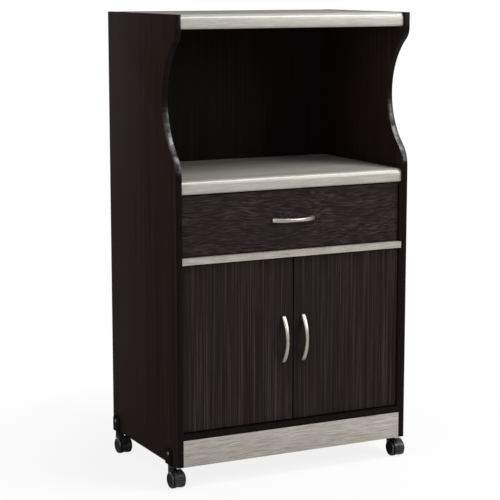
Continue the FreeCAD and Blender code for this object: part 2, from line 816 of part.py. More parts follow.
def hood_marks():
    """Two dimples and a slot that are sunk in the front of the fender."""
    floor_radius = fender_outer - hood_mark_depth
    marks = []
    for angle, xs in ((hood_dimple_angle, (-hood_dimple_spacing / 2, hood_dimple_spacing / 2)),
                      (hood_slot_angle, (0.0,))):
        y, z = around_axle(angle, floor_radius)
        outward = Vector(0, -math.cos(math.radians(angle)), math.sin(math.radians(angle)))
        for x in xs:
            if len(xs) > 1:
                marks.append(rod(hood_dimple_radius, Vector(x, y, z), outward, fender_outer))
            else:
                slot = slab(-hood_slot_length / 2, hood_slot_length / 2,
                            -hood_slot_width / 2, hood_slot_width / 2, 0, fender_outer)
                slot.Placement = FreeCAD.Placement(Vector(x, y, z), FreeCAD.Rotation(Z, outward))
                marks.append(slot)
    return marks


def caster_stem():
    """The steel stem: pressed into the hood, riveted over above the bracket."""
    bottom = caster_height - hood_top_gap - stem_depth
    head_bottom = case_bottom + stem_head_play
    stem = rod(stem_radius, Vector(0, 0, bottom), Z, head_bottom - bottom)
    head = rod(stem_head_radius, Vector(0, 0, head_bottom), Z, stem_head_height)
    return stem.fuse(head)


def caster_axle():
    """The steel axle through the hood's web."""
    return rod(axle_radius, Vector(-axle_half_length, -caster_trail, axle_z), X,
               2 * axle_half_length)


def caster_wheel(side):
    """One wheel: tread, domed outer face with a sunk cap, and a pocket towards the web."""
    inner = wheel_gap / 2
    outer = inner + wheel_width
    tread_end = inner + wheel_tread_width
    bore = axle_radius + running_clearance
    bore_end = axle_half_length + fastener_clearance
    cap_face = outer - wheel_cap_step
    pocket = inner + wheel_pocket_depth

    def at(u, r):
        return Vector(side * u, -caster_trail, axle_z + r)

    dome_middle = at(tread_end + (outer - tread_end) * 0.69,
                     wheel_cap_radius + (wheel_radius - wheel_cap_radius) * 0.58)
    corners = [
        (cap_face, 0), (bore_end, 0), (bore_end, bore), (inner, bore), (inner, wheel_pocket_inner),
        (pocket, wheel_pocket_inner), (pocket, wheel_pocket_outer), (inner, wheel_pocket_outer),
        (inner, wheel_radius - wheel_edge_round), (inner + wheel_edge_round, wheel_radius),
        (tread_end, wheel_radius),
    ]
    edges = [Part.makeLine(at(*a), at(*b)) for a, b in zip(corners, corners[1:])]
    edges.append(Part.Arc(at(tread_end, wheel_radius), dome_middle,
                          at(outer, wheel_cap_radius)).toShape())
    edges.append(Part.makeLine(at(outer, wheel_cap_radius),
                               at(cap_face, wheel_cap_radius - wheel_cap_step)))
    edges.append(Part.makeLine(at(cap_face, wheel_cap_radius - wheel_cap_step), at(cap_face, 0)))
    section = Part.Face(Part.Wire(edges))
    return section.revolve(at(0, 0), X, 360)


# ---------------------------------------------------------------- all pieces
def case_pieces():
    """The fixed case."""
    left = side_panel_left()
    bottom_place, divider_place, oven_place, top_place = cam_places()
    meeting = oven_shelf_bottom + board_thickness / 2
    half_shelf = inner_half - shelf_side_gap
    kick = slab(-inner_half, inner_half, case_front, case_front + board_thickness,
                case_bottom, kick_top)
    pins = [shelf_pin(side, y) for side in (-1, 1) for y in shelf_pin_rows()]
    cams = []
    for underside, front, rear in cam_places():
        for y in cam_rows(front, rear):
            cams += cam_lock(-1, y, underside) + cam_lock(1, y, underside)
    runner = cabinet_runner_left()
    arms = at_left_hinges(hinge_arm())
    return {
        "side_panel_left": [left],
        "side_panel_right": [mirrored(left)],
        "top_board": [case_board(*top_place)],
        "top_nosing": [nosing(top_level)],
        "oven_shelf": [case_board(*oven_place)],
        "oven_shelf_nosing": [nosing(oven_shelf_top)],
        "divider_board": [case_board(*divider_place)],
        "bottom_board": [case_board(*bottom_place)],
        "kick_board": [kick],
        "rear_rail": [moved(kick, y=case_depth - board_thickness)],
        "back_panel_upper": [back_panel(meeting + back_joint_gap, panel_top - back_top_drop)],
        "back_panel_lower": [back_panel(cupboard_floor - groove_depth + groove_clearance, meeting)],
        "cupboard_shelf": [slab(-half_shelf, half_shelf, shelf_front, shelf_back,
                                shelf_bottom, shelf_bottom + board_thickness)],
        "shelf_pins": pins,
        "cam_locks": cams,
        "cabinet_runners": [runner, mirrored(runner)],
        "hinge_arms": arms + [mirrored(arm) for arm in arms],
    }


def door_pieces():
    """Both doors with their handles, screws and hinge cups."""
    middle = (door_bottom + door_top) / 2
    handle = moved(arched_handle(), -handle_x, door_front, middle)
    screw = handle_screw(door_thickness)
    screws = [moved(screw, -handle_x, door_back, middle + z) for z in handle_hole_levels()]
    left = {
        "door": [door_left()],
        "door_handle": [handle],
        "door_handle_screws": screws,
        "hinge_cups": at_left_hinges(hinge_cup()),
    }
    pieces = {}
    for name, shapes in left.items():
        pieces[name + "_left"] = shapes
        pieces[name + "_right"] = [mirrored(shape) for shape in shapes]
    return pieces


def drawer_pieces():
    """The drawer, its runners and all four rollers."""
    middle = (drawer_front_bottom + drawer_front_top) / 2
    side = drawer_side_left()
    runner = drawer_runner_left()
    screw = handle_screw(drawer_front_thickness)
    cabinet_roller = roller_left(cabinet_roller_y, cabinet_roller_z)
    drawer_roller = roller_left(drawer_roller_y, drawer_roller_z)
    return {
        "drawer_front": [drawer_front()],
        "drawer_side_left": [side],
        "drawer_side_right": [mirrored(side)],
        "drawer_back": [drawer_back()],
        "drawer_bottom": [drawer_floor()],
        "drawer_handle": [moved(quarter_turned(arched_handle()), y=drawer_front_face, z=middle)],
        "drawer_handle_screws": [moved(screw, x, drawer_front_back, middle)
                                 for x in handle_hole_levels()],
        "drawer_runners": [runner, mirrored(runner)],
        "cabinet_rollers": [cabinet_roller, mirrored(cabinet_roller)],
        "drawer_rollers": [drawer_roller, mirrored(drawer_roller)],
    }


def caster_pieces():
    """Four casters, each with its bracket, and the bracket screws."""
    bracket, screw = caster_bracket_left(), caster_screw_left()
    swivel = {
        "hood": hood(),
        "stem": caster_stem(),
        "axle": caster_axle(),
        "wheel_left": caster_wheel(-1),
        "wheel_right": caster_wheel(1),
    }
    pieces = {"caster_screws": []}
    for end, y in stem_y.items():
        left_bracket, left_screw = (moved(shape, -stem_x, y) for shape in (bracket, screw))
        pieces["caster_screws"] += [left_screw, mirrored(left_screw)]
        pieces[f"caster_{end}_left_bracket"] = [left_bracket]
        pieces[f"caster_{end}_right_bracket"] = [mirrored(left_bracket)]
        for side, x in (("left", -stem_x), ("right", stem_x)):
            for name, shape in swivel.items():
                pieces[f"caster_{end}_{side}_{name}"] = [moved(shape, x, y)]
    return pieces


def main():
    """Write one STEP file for each node."""
    os.makedirs("parts", exist_ok=True)
    pieces = {**case_pieces(), **door_pieces(), **drawer_pieces(), **caster_pieces()}
    for name, shapes in pieces.items():
        solids = [solid for shape in shapes for solid in shape.Solids]
        node = solids[0] if len(solids) == 1 else Part.makeCompound(solids)
        node.exportStep(f"parts/{name}.step")
        print(f"{name}: {len(solids)} solid(s), {node.Volume / 1000:.2f} cm3, valid {node.isValid()}")
    print(f"{len(pieces)} nodes")


main()
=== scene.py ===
# %% [markdown]
# # A microwave stand with a drawer
#
# The stand is built from foil-wrapped boards: two tall side panels with a waisted front edge, a
# top and an oven shelf with rounded grey rails, a drawer, a cupboard with two doors, and four
# twin-wheel casters. Its shape, its joints and its sizes come from an engineering model. This
# lesson loads that model, keeps it as a fixed frame, and models the pieces that meet the eye
# again as a furniture maker would look at them: with eased edges, wood grain and satin metal.

# %% Load the engineering model
import math

import bpy
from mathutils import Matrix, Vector


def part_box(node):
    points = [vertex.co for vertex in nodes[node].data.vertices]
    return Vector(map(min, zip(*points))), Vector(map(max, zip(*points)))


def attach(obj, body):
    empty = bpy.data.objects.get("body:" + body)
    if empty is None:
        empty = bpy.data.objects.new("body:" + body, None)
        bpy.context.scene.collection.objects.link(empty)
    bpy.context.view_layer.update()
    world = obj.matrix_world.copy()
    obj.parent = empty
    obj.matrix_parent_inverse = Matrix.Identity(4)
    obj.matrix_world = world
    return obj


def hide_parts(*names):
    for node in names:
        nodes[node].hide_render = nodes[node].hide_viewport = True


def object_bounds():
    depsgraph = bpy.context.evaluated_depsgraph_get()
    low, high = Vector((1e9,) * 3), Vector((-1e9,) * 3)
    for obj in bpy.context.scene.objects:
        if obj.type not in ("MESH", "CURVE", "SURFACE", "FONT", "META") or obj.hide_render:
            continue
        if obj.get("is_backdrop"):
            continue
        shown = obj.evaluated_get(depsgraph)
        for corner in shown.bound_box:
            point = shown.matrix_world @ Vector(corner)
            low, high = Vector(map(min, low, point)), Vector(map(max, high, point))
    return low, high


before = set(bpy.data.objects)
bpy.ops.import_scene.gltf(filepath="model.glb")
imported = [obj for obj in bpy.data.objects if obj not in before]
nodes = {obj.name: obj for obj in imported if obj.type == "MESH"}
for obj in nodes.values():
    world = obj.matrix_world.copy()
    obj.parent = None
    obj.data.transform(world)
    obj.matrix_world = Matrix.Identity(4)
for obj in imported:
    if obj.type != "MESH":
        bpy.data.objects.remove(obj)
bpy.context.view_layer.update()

# %% [markdown]
# ## Working with operators
#
# Blender's operators act on whatever is selected, and the loaded nodes arrive selected. So each
# step starts by clearing the selection, and picks points, edges or faces by where they are or
# which way they face. These small helpers do that, and are used by every piece below.

# %% Select by place
MM = 0.001
MERGE_DISTANCE = MM / 100
PARALLEL = 0.9  # a direction with more than this share along an axis counts as parallel to it
CHOICES = {"VERT": (True, False, False), "EDGE": (False, True, False), "FACE": (False, False, True)}


def deselect_all():
    """Object mode, with nothing selected."""
    if bpy.context.object and bpy.context.object.mode != "OBJECT":
        bpy.ops.object.mode_set(mode="OBJECT")
    bpy.ops.object.select_all(action="DESELECT")


def make_active(piece):
    """The only selected piece."""
    deselect_all()
    piece.select_set(True)
    bpy.context.view_layer.objects.active = piece


def pick(piece, kind, test):
    """Edit mode, with the points, edges or faces selected whose middle and direction pass a test."""
    make_active(piece)
    mesh = piece.data
    for part in (*mesh.vertices, *mesh.edges, *mesh.polygons):
        part.select = False
    for point in mesh.vertices if kind == "VERT" else ():
        point.select = test(point.co, point.normal)
    for edge in mesh.edges if kind == "EDGE" else ():
        first, last = (mesh.vertices[index].co for index in edge.vertices)
        edge.select = test((first + last) / 2, (last - first).normalized())
    for face in mesh.polygons if kind == "FACE" else ():
        face.select = test(face.center, face.normal)
    bpy.context.tool_settings.mesh_select_mode = CHOICES[kind]
    bpy.ops.object.mode_set(mode="EDIT")


def pick_all(piece):
    """Edit mode, with the whole piece selected."""
    make_active(piece)
    bpy.context.tool_settings.mesh_select_mode = CHOICES["VERT"]
    bpy.ops.object.mode_set(mode="EDIT")
    bpy.ops.mesh.select_all(action="SELECT")


print("selection helpers are ready")

# %% [markdown]
# ## Ways to start a solid
#
# Boards start as a cube at their size and place. Outlines with arcs start as one point, which a
# pen extrudes along lines and spins along arcs. Turned pieces start as a half section that is
# spun all the way round. Where a board or a wheel meets the light, a sharp edge looks false, so
# every solid then has its edges eased by a bevel.

# %% A board between two corners, and eased edges
SHARP_ANGLE = math.radians(40)


def block(name, low, high):
    """A cube between two corners, with its place in its mesh."""
    deselect_all()
    low, high = Vector(low), Vector(high)
    bpy.ops.mesh.primitive_cube_add(size=1, location=(low + high) / 2, scale=high - low)
    bpy.ops.object.transform_apply(location=True, rotation=True, scale=True)
    piece = bpy.context.object
    piece.name = piece.data.name = name
    return piece


def ease(piece, radius):
    """A small bevel of two steps on every sharp edge."""
    pick_all(piece)
    bpy.ops.mesh.select_all(action="DESELECT")
    bpy.ops.mesh.select_mode(type="EDGE")
    bpy.ops.mesh.edges_select_sharp(sharpness=SHARP_ANGLE)
    bpy.ops.mesh.bevel(offset=radius, segments=2, affect="EDGES", clamp_overlap=True)
    bpy.ops.object.mode_set(mode="OBJECT")


def round_edges(piece, radius, segments, test):
    """A larger rounding on chosen edges."""
    pick(piece, "EDGE", test)
    bpy.ops.mesh.bevel(offset=radius, segments=segments, affect="EDGES", clamp_overlap=True)
    bpy.ops.object.mode_set(mode="OBJECT")


print("boards can be made")

# %% A pen that draws outlines
def pen_down(name, start):
    """A new piece that is a single selected point."""
    deselect_all()
    bpy.ops.mesh.primitive_plane_add(size=MM, location=(0, 0, 0))
    piece = bpy.context.object
    piece.name = piece.data.name = name
    pick_all(piece)
    bpy.ops.mesh.merge(type="CENTER")
    bpy.ops.transform.translate(value=start)
    return piece


def pen_line(start, *points):
    """Draws straight lines from the pen's point."""
    for point in points:
        step = Vector(point) - Vector(start)
        bpy.ops.mesh.extrude_region_move(TRANSFORM_OT_translate={"value": step})
        start = point


def pen_arc(centre, angle, steps):
    """Draws an arc about X. A positive angle turns from the front to the top."""
    bpy.ops.mesh.spin(steps=steps, angle=angle, center=centre, axis=(1, 0, 0))


def close_and_thicken(piece, step):
    """Closes the outline into a face, draws it out, and turns its faces outwards."""
    bpy.ops.mesh.select_all(action="SELECT")
    bpy.ops.mesh.remove_doubles(threshold=MERGE_DISTANCE)
    bpy.ops.mesh.edge_face_add()
    bpy.ops.mesh.extrude_region_move(TRANSFORM_OT_translate={"value": step})
    face_outwards(piece)


def face_outwards(piece):
    """Faces of a closed solid point outwards."""
    bpy.ops.mesh.select_all(action="SELECT")
    bpy.ops.mesh.remove_doubles(threshold=MERGE_DISTANCE)
    bpy.ops.mesh.normals_make_consistent(inside=False)
    bpy.ops.object.mode_set(mode="OBJECT")


print("outlines can be drawn")

# %% A lathe, cuts, copies
def turned(name, profile, centre, along, steps):
    """A solid from (distance along the axis, radius) points that are spun about the axis."""
    centre, along = Vector(centre), Vector(along)
    outward = Vector((0, 0, 1)) if abs(along.z) < 0.5 else Vector((1, 0, 0))
    points = [centre + along * distance + outward * radius for distance, radius in profile]
    piece = pen_down(name, points[0])
    pen_line(*points)
    bpy.ops.mesh.select_all(action="SELECT")
    bpy.ops.mesh.spin(steps=steps, angle=math.tau, center=centre, axis=along)
    face_outwards(piece)
    return piece


def cut_away(piece, tool):
    """Cuts a second solid out of a piece, and uses it up."""
    make_active(piece)
    step = piece.modifiers.new("cut", "BOOLEAN")
    step.operation = "DIFFERENCE"
    step.solver = "EXACT"
    step.object = tool
    bpy.ops.object.modifier_apply(modifier=step.name)
    bpy.data.objects.remove(tool)


def copied(piece, name, move=(0, 0, 0), mirror=False):
    """A copy with a mesh of its own, moved or mirrored left to right inside its mesh."""
    make_active(piece)
    bpy.ops.object.duplicate(linked=False)
    twin = bpy.context.object
    twin.name = twin.data.name = name
    pick_all(twin)
    bpy.ops.transform.translate(value=move)
    if mirror:
        bpy.ops.transform.resize(value=(-1, 1, 1), center_override=(0, 0, 0))
        bpy.ops.mesh.normals_make_consistent(inside=False)
    bpy.ops.object.mode_set(mode="OBJECT")
    return twin


def joined(name, pieces):
    """Several pieces as one object."""
    make_active(pieces[0])
    for piece in pieces:
        piece.select_set(True)
    bpy.ops.object.join()
    pieces[0].name = pieces[0].data.name = name
    return pieces[0]


print("turned pieces, cuts and copies can be made")

# %% [markdown]
# ## How a material is put together
#
# A material is a small network of nodes around one Principled shader. Numbers that are the same
# all over are typed on the shader itself. What varies, such as grain, is noise that reads the
# object's own coordinates in metres, so a streak is as wide on the render as its number says.

# %% Nodes by name
DRIFT_LENGTH = 130 * MM
CLOUD_RANGE = (0.35, 0.65)
STREAK_RANGE = (0.3, 0.7)


def new_material(name, base, roughness, metallic=0.0, specular=0.5):
    """A material with a Principled shader, and its plain numbers set on the shader."""
    made = bpy.data.materials.new(name)
    made.use_nodes = True
    shader = made.node_tree.nodes["Principled BSDF"]
    shader.inputs["Base Color"].default_value = (*base, 1)
    shader.inputs["Roughness"].default_value = roughness
    shader.inputs["Metallic"].default_value = metallic
    shader.inputs["Specular IOR Level"].default_value = specular
    return made


def add(owner, kind, inputs=(), **settings):
    """A node of a material or a world, with its settings, and its inputs typed in or linked."""
    node = owner.node_tree.nodes.new(kind)
    for name, value in settings.items():
        setattr(node, name, value)
    for name, value in dict(inputs).items():
        if isinstance(value, bpy.types.NodeSocket):
            owner.node_tree.links.new(value, node.inputs[name])
        else:
            node.inputs[name].default_value = value
    return node


def noise(material, size, shift=0.0, detail=3.0, roughness=0.55, drift=0.0):
    """Noise whose blotches have a size in metres along X, Y and Z. A drift bends its lines."""
    place = add(material, "ShaderNodeTexCoord").outputs["Object"]
    if drift:
        slow = add(material, "ShaderNodeTexNoise",
                   {"Vector": place, "Scale": 1 / DRIFT_LENGTH, "Detail": 1.0})
        centred = add(material, "ShaderNodeVectorMath", {0: slow.outputs["Color"], 1: (0.5, 0.5, 0.5)},
                      operation="SUBTRACT").outputs["Vector"]
        offset = add(material, "ShaderNodeVectorMath", {0: centred, 1: (drift, drift, drift)},
                     operation="MULTIPLY").outputs["Vector"]
        place = add(material, "ShaderNodeVectorMath", {0: place, 1: offset}).outputs["Vector"]
    mapping = add(material, "ShaderNodeMapping",
                  {"Vector": place, "Location": (shift, shift, shift), "Scale": [1 / s for s in size]})
    wave = add(material, "ShaderNodeTexNoise",
               {"Vector": mapping.outputs["Vector"], "Scale": 1.0, "Detail": detail,
                "Roughness": roughness})
    return wave.outputs["Fac"]


def remap(material, value, low, high, to_low, to_high):
    """A value from one range in another, held at its ends."""
    return add(material, "ShaderNodeMapRange",
               {"Value": value, "From Min": low, "From Max": high, "To Min": to_low,
                "To Max": to_high}).outputs["Result"]


def blend(material, factor, first, second):
    """A colour between two, by a factor."""
    first, second = (color if isinstance(color, bpy.types.NodeSocket) else (*color, 1)
                     for color in (first, second))
    mix = add(material, "ShaderNodeMix", {"Factor": factor, 6: first, 7: second}, data_type="RGBA")
    return mix.outputs[2]


def use(material, color, roughness, height, depth, strength):
    """Links a colour, a roughness and a relief to the material's shader."""
    shader = material.node_tree.nodes["Principled BSDF"]
    links = material.node_tree.links
    links.new(color, shader.inputs["Base Color"])
    links.new(roughness, shader.inputs["Roughness"])
    bump = add(material, "ShaderNodeBump", {"Height": height, "Distance": depth, "Strength": strength})
    links.new(bump.outputs["Normal"], shader.inputs["Normal"])


print("materials can be put together")

# %% Worn edges
def edge_mask(material, radius, amount):
    """High on a piece's edges, uneven, and zero on its flats: where handling polishes the finish."""
    rounded = add(material, "ShaderNodeBevel", {"Radius": radius}, samples=4)
    true = add(material, "ShaderNodeNewGeometry")
    match = add(material, "ShaderNodeVectorMath",
                {0: rounded.outputs["Normal"], 1: true.outputs["Normal"]}, operation="DOT_PRODUCT")
    edge = remap(material, match.outputs["Value"], 0.98, 0.72, 0.0, amount)
    patches = remap(material, noise(material, (0.03, 0.03, 0.03), 5.0), 0.38, 0.62, 0.35, 1.0)
    return add(material, "ShaderNodeMath", {0: edge, 1: patches}, operation="MULTIPLY").outputs[0]


print("edges can be worn")

# %% [markdown]
# ## Wood-grain foil
#
# The boards are wrapped in printed foil. The dark foil has long upright streaks on the doors and
# side panels and shorter flecks along the drawer front. The grey one has fine pale and dark
# lines along its length. One function draws all of them: noise that is stretched along the grain
# for the streaks, short noise for pores, and wide clouds that move the tone a little.

# %% The foil's grain
ALONG = {"X": 0, "Y": 1, "Z": 2}
TONE_STOPS = (0.30, 0.5, 0.74)


def stretched(along, width, length):
    """A blotch size that is long on one axis and narrow on the other two."""
    size = [width, width, width]
    size[ALONG[along]] = length
    return size


def foil(name, along, tones, streak, pore, cloud_tint, roughness, specular, relief,
         banding=0.06, cloud=(60 * MM, 220 * MM), drift=0.0):
    """Printed wood grain. Tones are dark, middle and light; streak, pore and cloud are (width, length)."""
    dark, middle, light = tones
    made = new_material(name, middle, sum(roughness) / 2, specular=specular)
    fine = noise(made, stretched(along, *streak), detail=3.0, roughness=0.6, drift=drift)
    bands = noise(made, stretched(along, 4 * streak[0], 2 * streak[1]), 11.0, detail=2.0, drift=drift)
    lift = remap(made, bands, *STREAK_RANGE, -banding, banding)
    streaks = add(made, "ShaderNodeMath", {0: fine, 1: lift}, operation="ADD").outputs[0]
    pores = noise(made, stretched(along, *pore), 3.0, detail=2.0, drift=drift)
    clouds = noise(made, stretched(along, *cloud), 7.0, detail=2.0)
    ramp = add(made, "ShaderNodeValToRGB", {"Fac": streaks})
    stops = ramp.color_ramp.elements
    for place, tone in zip(TONE_STOPS, tones):
        stops.new(place).color = (*tone, 1)
    stops.remove(stops[0])
    stops.remove(stops[-1])
    tinted = blend(made, remap(made, clouds, *CLOUD_RANGE, 0.0, 0.55), ramp.outputs["Color"], cloud_tint)
    dark_pores = blend(made, remap(made, pores, 0.56, 0.72, 0.0, 0.6), tinted, dark)
    worn = blend(made, edge_mask(made, 0.8 * MM, 0.25), dark_pores, light)
    rough = remap(made, streaks, *STREAK_RANGE, *roughness)
    use(made, worn, rough, pores, depth=0.06 * MM, strength=relief)
    return made


print("foil can be printed")

# %% Dark foil: side panels, doors, drawer front
ESPRESSO = ((0.0105, 0.0052, 0.0044), (0.0198, 0.0106, 0.0091), (0.0290, 0.0180, 0.0162))
ESPRESSO_CLOUD = (0.0165, 0.0106, 0.0093)


def espresso(name, along, shade=1.0):
    """The plain dark foil of the case, with its faint grain along an axis. A shade below one darkens it, as
    painted shade.
    """
    tones = [[shade * part for part in tone] for tone in ESPRESSO]
    return foil(name, along, tones, (4.5 * MM, 0.45), (1.3 * MM, 0.05),
                [shade * part for part in ESPRESSO_CLOUD], (0.42, 0.52), 0.006, 0.10)


side_foil = espresso("espresso_foil_upright", "Z")
shelf_foil = espresso("espresso_foil_level", "X")
# The cupboard floor's foil is darkened to three tenths of the case's tone: painted shade for the shadow the
# doors cast over it.
floor_foil_painted_shade = espresso("espresso_foil_floor_painted_shade", "X", shade=0.3)
door_foil = foil("wenge_foil_upright", "Z",
                 ((0.0075, 0.0042, 0.0038), (0.0165, 0.0098, 0.0088), (0.056, 0.044, 0.045)),
                 (3.0 * MM, 0.40), (1.0 * MM, 0.03), (0.0110, 0.0098, 0.0088), (0.40, 0.52), 0.03, 0.16,
                 banding=0.03, cloud=(24 * MM, 700 * MM))
drawer_foil = foil("wenge_foil_level", "X",
                   ((0.0100, 0.0056, 0.0056), (0.0205, 0.0130, 0.0130), (0.060, 0.047, 0.047)),
                   (2.4 * MM, 0.038), (1.2 * MM, 0.012), (0.0160, 0.0118, 0.0118), (0.40, 0.52), 0.03, 0.18,
                   banding=0.03, drift=26 * MM)
print("dark foils:", side_foil.name, door_foil.name, drawer_foil.name)

# %% [markdown]
# The front and back edges of a side panel are banded: a plastic strip is ironed on. It is almost
# black and plain where it runs straight. Where it is pulled round the lower half of the waist, the
# heat leaves it glossier and rippled, so there it breaks the light from above into bright patches.
# The top and bottom edges of the panel take the foil of its sides.

# %% Edge band, straight and bent
def edge_strip(name, specular, gloss, ripple, strength):
    """A near-black strip with lines along it. Gloss is its lowest and highest roughness."""
    made = new_material(name, (0.005, 0.0025, 0.0022), sum(gloss) / 2, specular=specular)
    waves = noise(made, (ripple, ripple, 1.5 * ripple), 2.0, detail=3.0)
    lines = noise(made, stretched("Z", 1.2 * MM, 60 * MM), 4.0)
    color = blend(made, remap(made, lines, 0.4, 0.65, 0.0, 1.0),
                  (0.0035, 0.0018, 0.0016), (0.0065, 0.0038, 0.0034))
    rubbed = blend(made, edge_mask(made, 0.8 * MM, 0.3), color, (0.03, 0.025, 0.023))
    use(made, rubbed, remap(made, waves, *CLOUD_RANGE, *gloss), waves, depth=0.8 * MM, strength=strength)
    return made


edge_band = edge_strip("espresso_edge_band", 0.05, (0.22, 0.42), 12 * MM, 0.25)
bent_bands = []
for slope, specular in ((0.12, 0.11), (0.20, 0.20), (0.30, 0.36)):
    gloss = (0.20 - 0.2 * specular, 0.42)
    bent = edge_strip(f"espresso_edge_band_bent_{len(bent_bands) + 1}", specular, gloss, 14 * MM,
                      0.35 + slope / 2)
    bent_bands.append((slope, bent))
print("edge bands:", edge_band.name, *(bent.name for _, bent in bent_bands))

# %% Grey oak foil: rails, kick board, shelves
grey_foil = foil("grey_oak_foil", "X",
                 ((0.185, 0.163, 0.140), (0.320, 0.292, 0.260), (0.480, 0.438, 0.400)),
                 (1.8 * MM, 0.045), (0.8 * MM, 0.012), (0.352, 0.324, 0.288), (0.24, 0.34), 0.45, 0.12,
                 banding=0.03, cloud=(26 * MM, 120 * MM), drift=5 * MM)
grey_rail = foil("grey_oak_rail", "X",
                 ((0.225, 0.203, 0.176), (0.325, 0.303, 0.270), (0.430, 0.408, 0.375)),
                 (2.4 * MM, 0.050), (1.1 * MM, 0.02), (0.330, 0.315, 0.275), (0.28, 0.40), 0.9, 0.12,
                 banding=0.02, cloud=(12 * MM, 60 * MM), drift=6 * MM)
grey_board = foil("grey_oak_board", "X",
                  ((0.195, 0.182, 0.164), (0.265, 0.252, 0.232), (0.345, 0.330, 0.308)),
                  (2.8 * MM, 0.10), (0.9 * MM, 0.02), (0.270, 0.260, 0.240), (0.44, 0.56), 0.0, 0.12)
print("grey foils:", grey_foil.name, grey_rail.name, grey_board.name)

# %% Inside boards: drawer box and back panels
box_foil = foil("drawer_box_foil", "Y",
                ((0.018, 0.013, 0.012), (0.032, 0.024, 0.022), (0.055, 0.044, 0.041)),
                (4.0 * MM, 0.12), (1.4 * MM, 0.02), (0.03, 0.025, 0.023), (0.48, 0.6), 0.2, 0.12)
# The hardboard's own dark print, made darker still as painted shade for the shadow inside the open bay.
back_print_and_painted_shade = foil("printed_hardboard_painted_shade", "Z",
                  ((0.0065, 0.0045, 0.0040), (0.0110, 0.0078, 0.0070), (0.0180, 0.0135, 0.0125)),
                  (5.0 * MM, 0.3), (1.5 * MM, 0.006), (0.0095, 0.0072, 0.0066), (0.62, 0.75), 0.04, 0.3)
print("inside boards:", box_foil.name, back_print_and_painted_shade.name)

# %% [markdown]
# ## Metal and plastic
#
# The handles are nickel plated over a brushed casting: fine scratches run along each handle and
# spread its highlights. Screws, hinges and axles are zinc plated. Brackets and stems are steel,
# painted black. The runners are powder coated, the rollers are nylon, and the hoods and wheels are
# moulded in a dark plastic with a faint orange peel.

# %% Satin nickel
def brushed(name, along, base, roughness):
    """Plated metal with fine scratches along one axis and a few duller patches."""
    made = new_material(name, base, roughness, metallic=1.0)
    scratches = noise(made, stretched(along, 0.25 * MM, 0.03), detail=2.0)
    patches = noise(made, (0.02, 0.02, 0.02), 2.0)
    tone = blend(made, remap(made, patches, *CLOUD_RANGE, 0.0, 0.5), base, [0.82 * c for c in base])
    polished = blend(made, edge_mask(made, 0.6 * MM, 0.4), tone, (0.85, 0.84, 0.81))
    use(made, polished, remap(made, scratches, *STREAK_RANGE, roughness - 0.06, roughness + 0.08),
        scratches, depth=0.02 * MM, strength=0.35)
    return made


nickel_upright = brushed("satin_nickel_upright", "Z", (0.38, 0.345, 0.31), 0.35)
nickel_level = brushed("satin_nickel_level", "X", (0.38, 0.345, 0.31), 0.33)
zinc = brushed("bright_zinc", "Y", (0.62, 0.63, 0.64), 0.32)
dull_zinc = brushed("dull_zinc", "Z", (0.17, 0.165, 0.16), 0.42)
print("metals:", nickel_upright.name, nickel_level.name, zinc.name)


# %% Black plastic, powder coat and nylon
def moulded(name, base, roughness, worn, specular=0.5, grain=0.9 * MM, clouding=0.72, cloud_size=25 * MM):
    """A moulded or sprayed skin: a faint orange peel, cloudy sheen and rubbed edges."""
    made = new_material(name, base, roughness, specular=specular)
    peel = noise(made, (grain, grain, grain), detail=2.0)
    clouds = noise(made, (cloud_size, cloud_size, cloud_size), 3.0)
    tone = blend(made, remap(made, clouds, *CLOUD_RANGE, 0.0, 0.8), base, [clouding * c for c in base])
    use(made, blend(made, edge_mask(made, 0.5 * MM, 0.35), tone, worn),
        remap(made, clouds, *STREAK_RANGE, roughness - 0.07, roughness + 0.09), peel,
        depth=0.05 * MM, strength=0.22)
    return made


black_plastic = moulded("black_moulded_plastic", (0.003, 0.003, 0.003), 0.34, (0.015, 0.015, 0.015), 0.10)
# The wheels' rim plastic is glossier than the black, and its lighter colour is a painted highlight.
rim_plastic_painted_highlight = moulded("glossy_wheel_rim_painted_highlight", (0.020, 0.020, 0.021), 0.22, (0.08, 0.08, 0.08), 0.45)
black_steel = moulded("black_painted_steel", (0.0055, 0.0045, 0.0040), 0.42, (0.014, 0.012, 0.011), 0.008)
hood_plastic = moulded("grey_black_hood_plastic", (0.026, 0.026, 0.027), 0.22, (0.08, 0.08, 0.08), 0.22,
                       clouding=0.10, cloud_size=9 * MM)
coated_steel = moulded("white_powder_coat", (0.78, 0.78, 0.76), 0.42, (0.88, 0.88, 0.86), 0.4)
nylon = moulded("natural_nylon", (0.80, 0.80, 0.76), 0.5, (0.9, 0.9, 0.87), 0.4, 0.4 * MM)
print("plastics:", black_plastic.name, nylon.name, "- paints:", black_steel.name, coated_steel.name)

# %% [markdown]
# ## Tying a piece to the model
#
# A piece that is made here stands for one node of the engineering model or more, rides on the
# body that carries it, and takes its material. Nodes whose shape is already right stay
# as they are and get a material. Pieces with curves are smoothed up to a given angle only.

# %% Fit a piece, or dress a node
def fit(piece, body, slot, material, *stands_for, smooth=35):
    """Shades a piece, gives it a material and ties it to the engineering model."""
    make_active(piece)
    bpy.ops.object.shade_smooth_by_angle(angle=math.radians(smooth))
    if material:
        piece.data.materials.clear()
        piece.data.materials.append(material)
    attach(piece, body)
    if stands_for:
        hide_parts(*stands_for)
    print(f"{piece.name}: {len(piece.data.polygons)} faces on {body}")


def dress(material, *names):
    """A better material for nodes whose shape stays."""
    for name in names:
        node = nodes[name]
        for place in range(len(node.material_slots)):
            node.material_slots[place].material = material
    print(material.name, "on", ", ".join(names))


def smoothed(name, body, slot, material):
    """A copy of a node with its triangles joined, so that its curves can be shaded smooth."""
    make_active(nodes[name])
    bpy.ops.object.duplicate(linked=False)
    twin = bpy.context.object
    twin.name = twin.data.name = name + "_smooth"
    pick_all(twin)
    bpy.ops.mesh.remove_doubles(threshold=MERGE_DISTANCE)
    bpy.ops.object.mode_set(mode="OBJECT")
    twin.data.materials.clear()
    fit(twin, body, slot, material, name, smooth=32)
    return twin


print("pieces can be fitted")

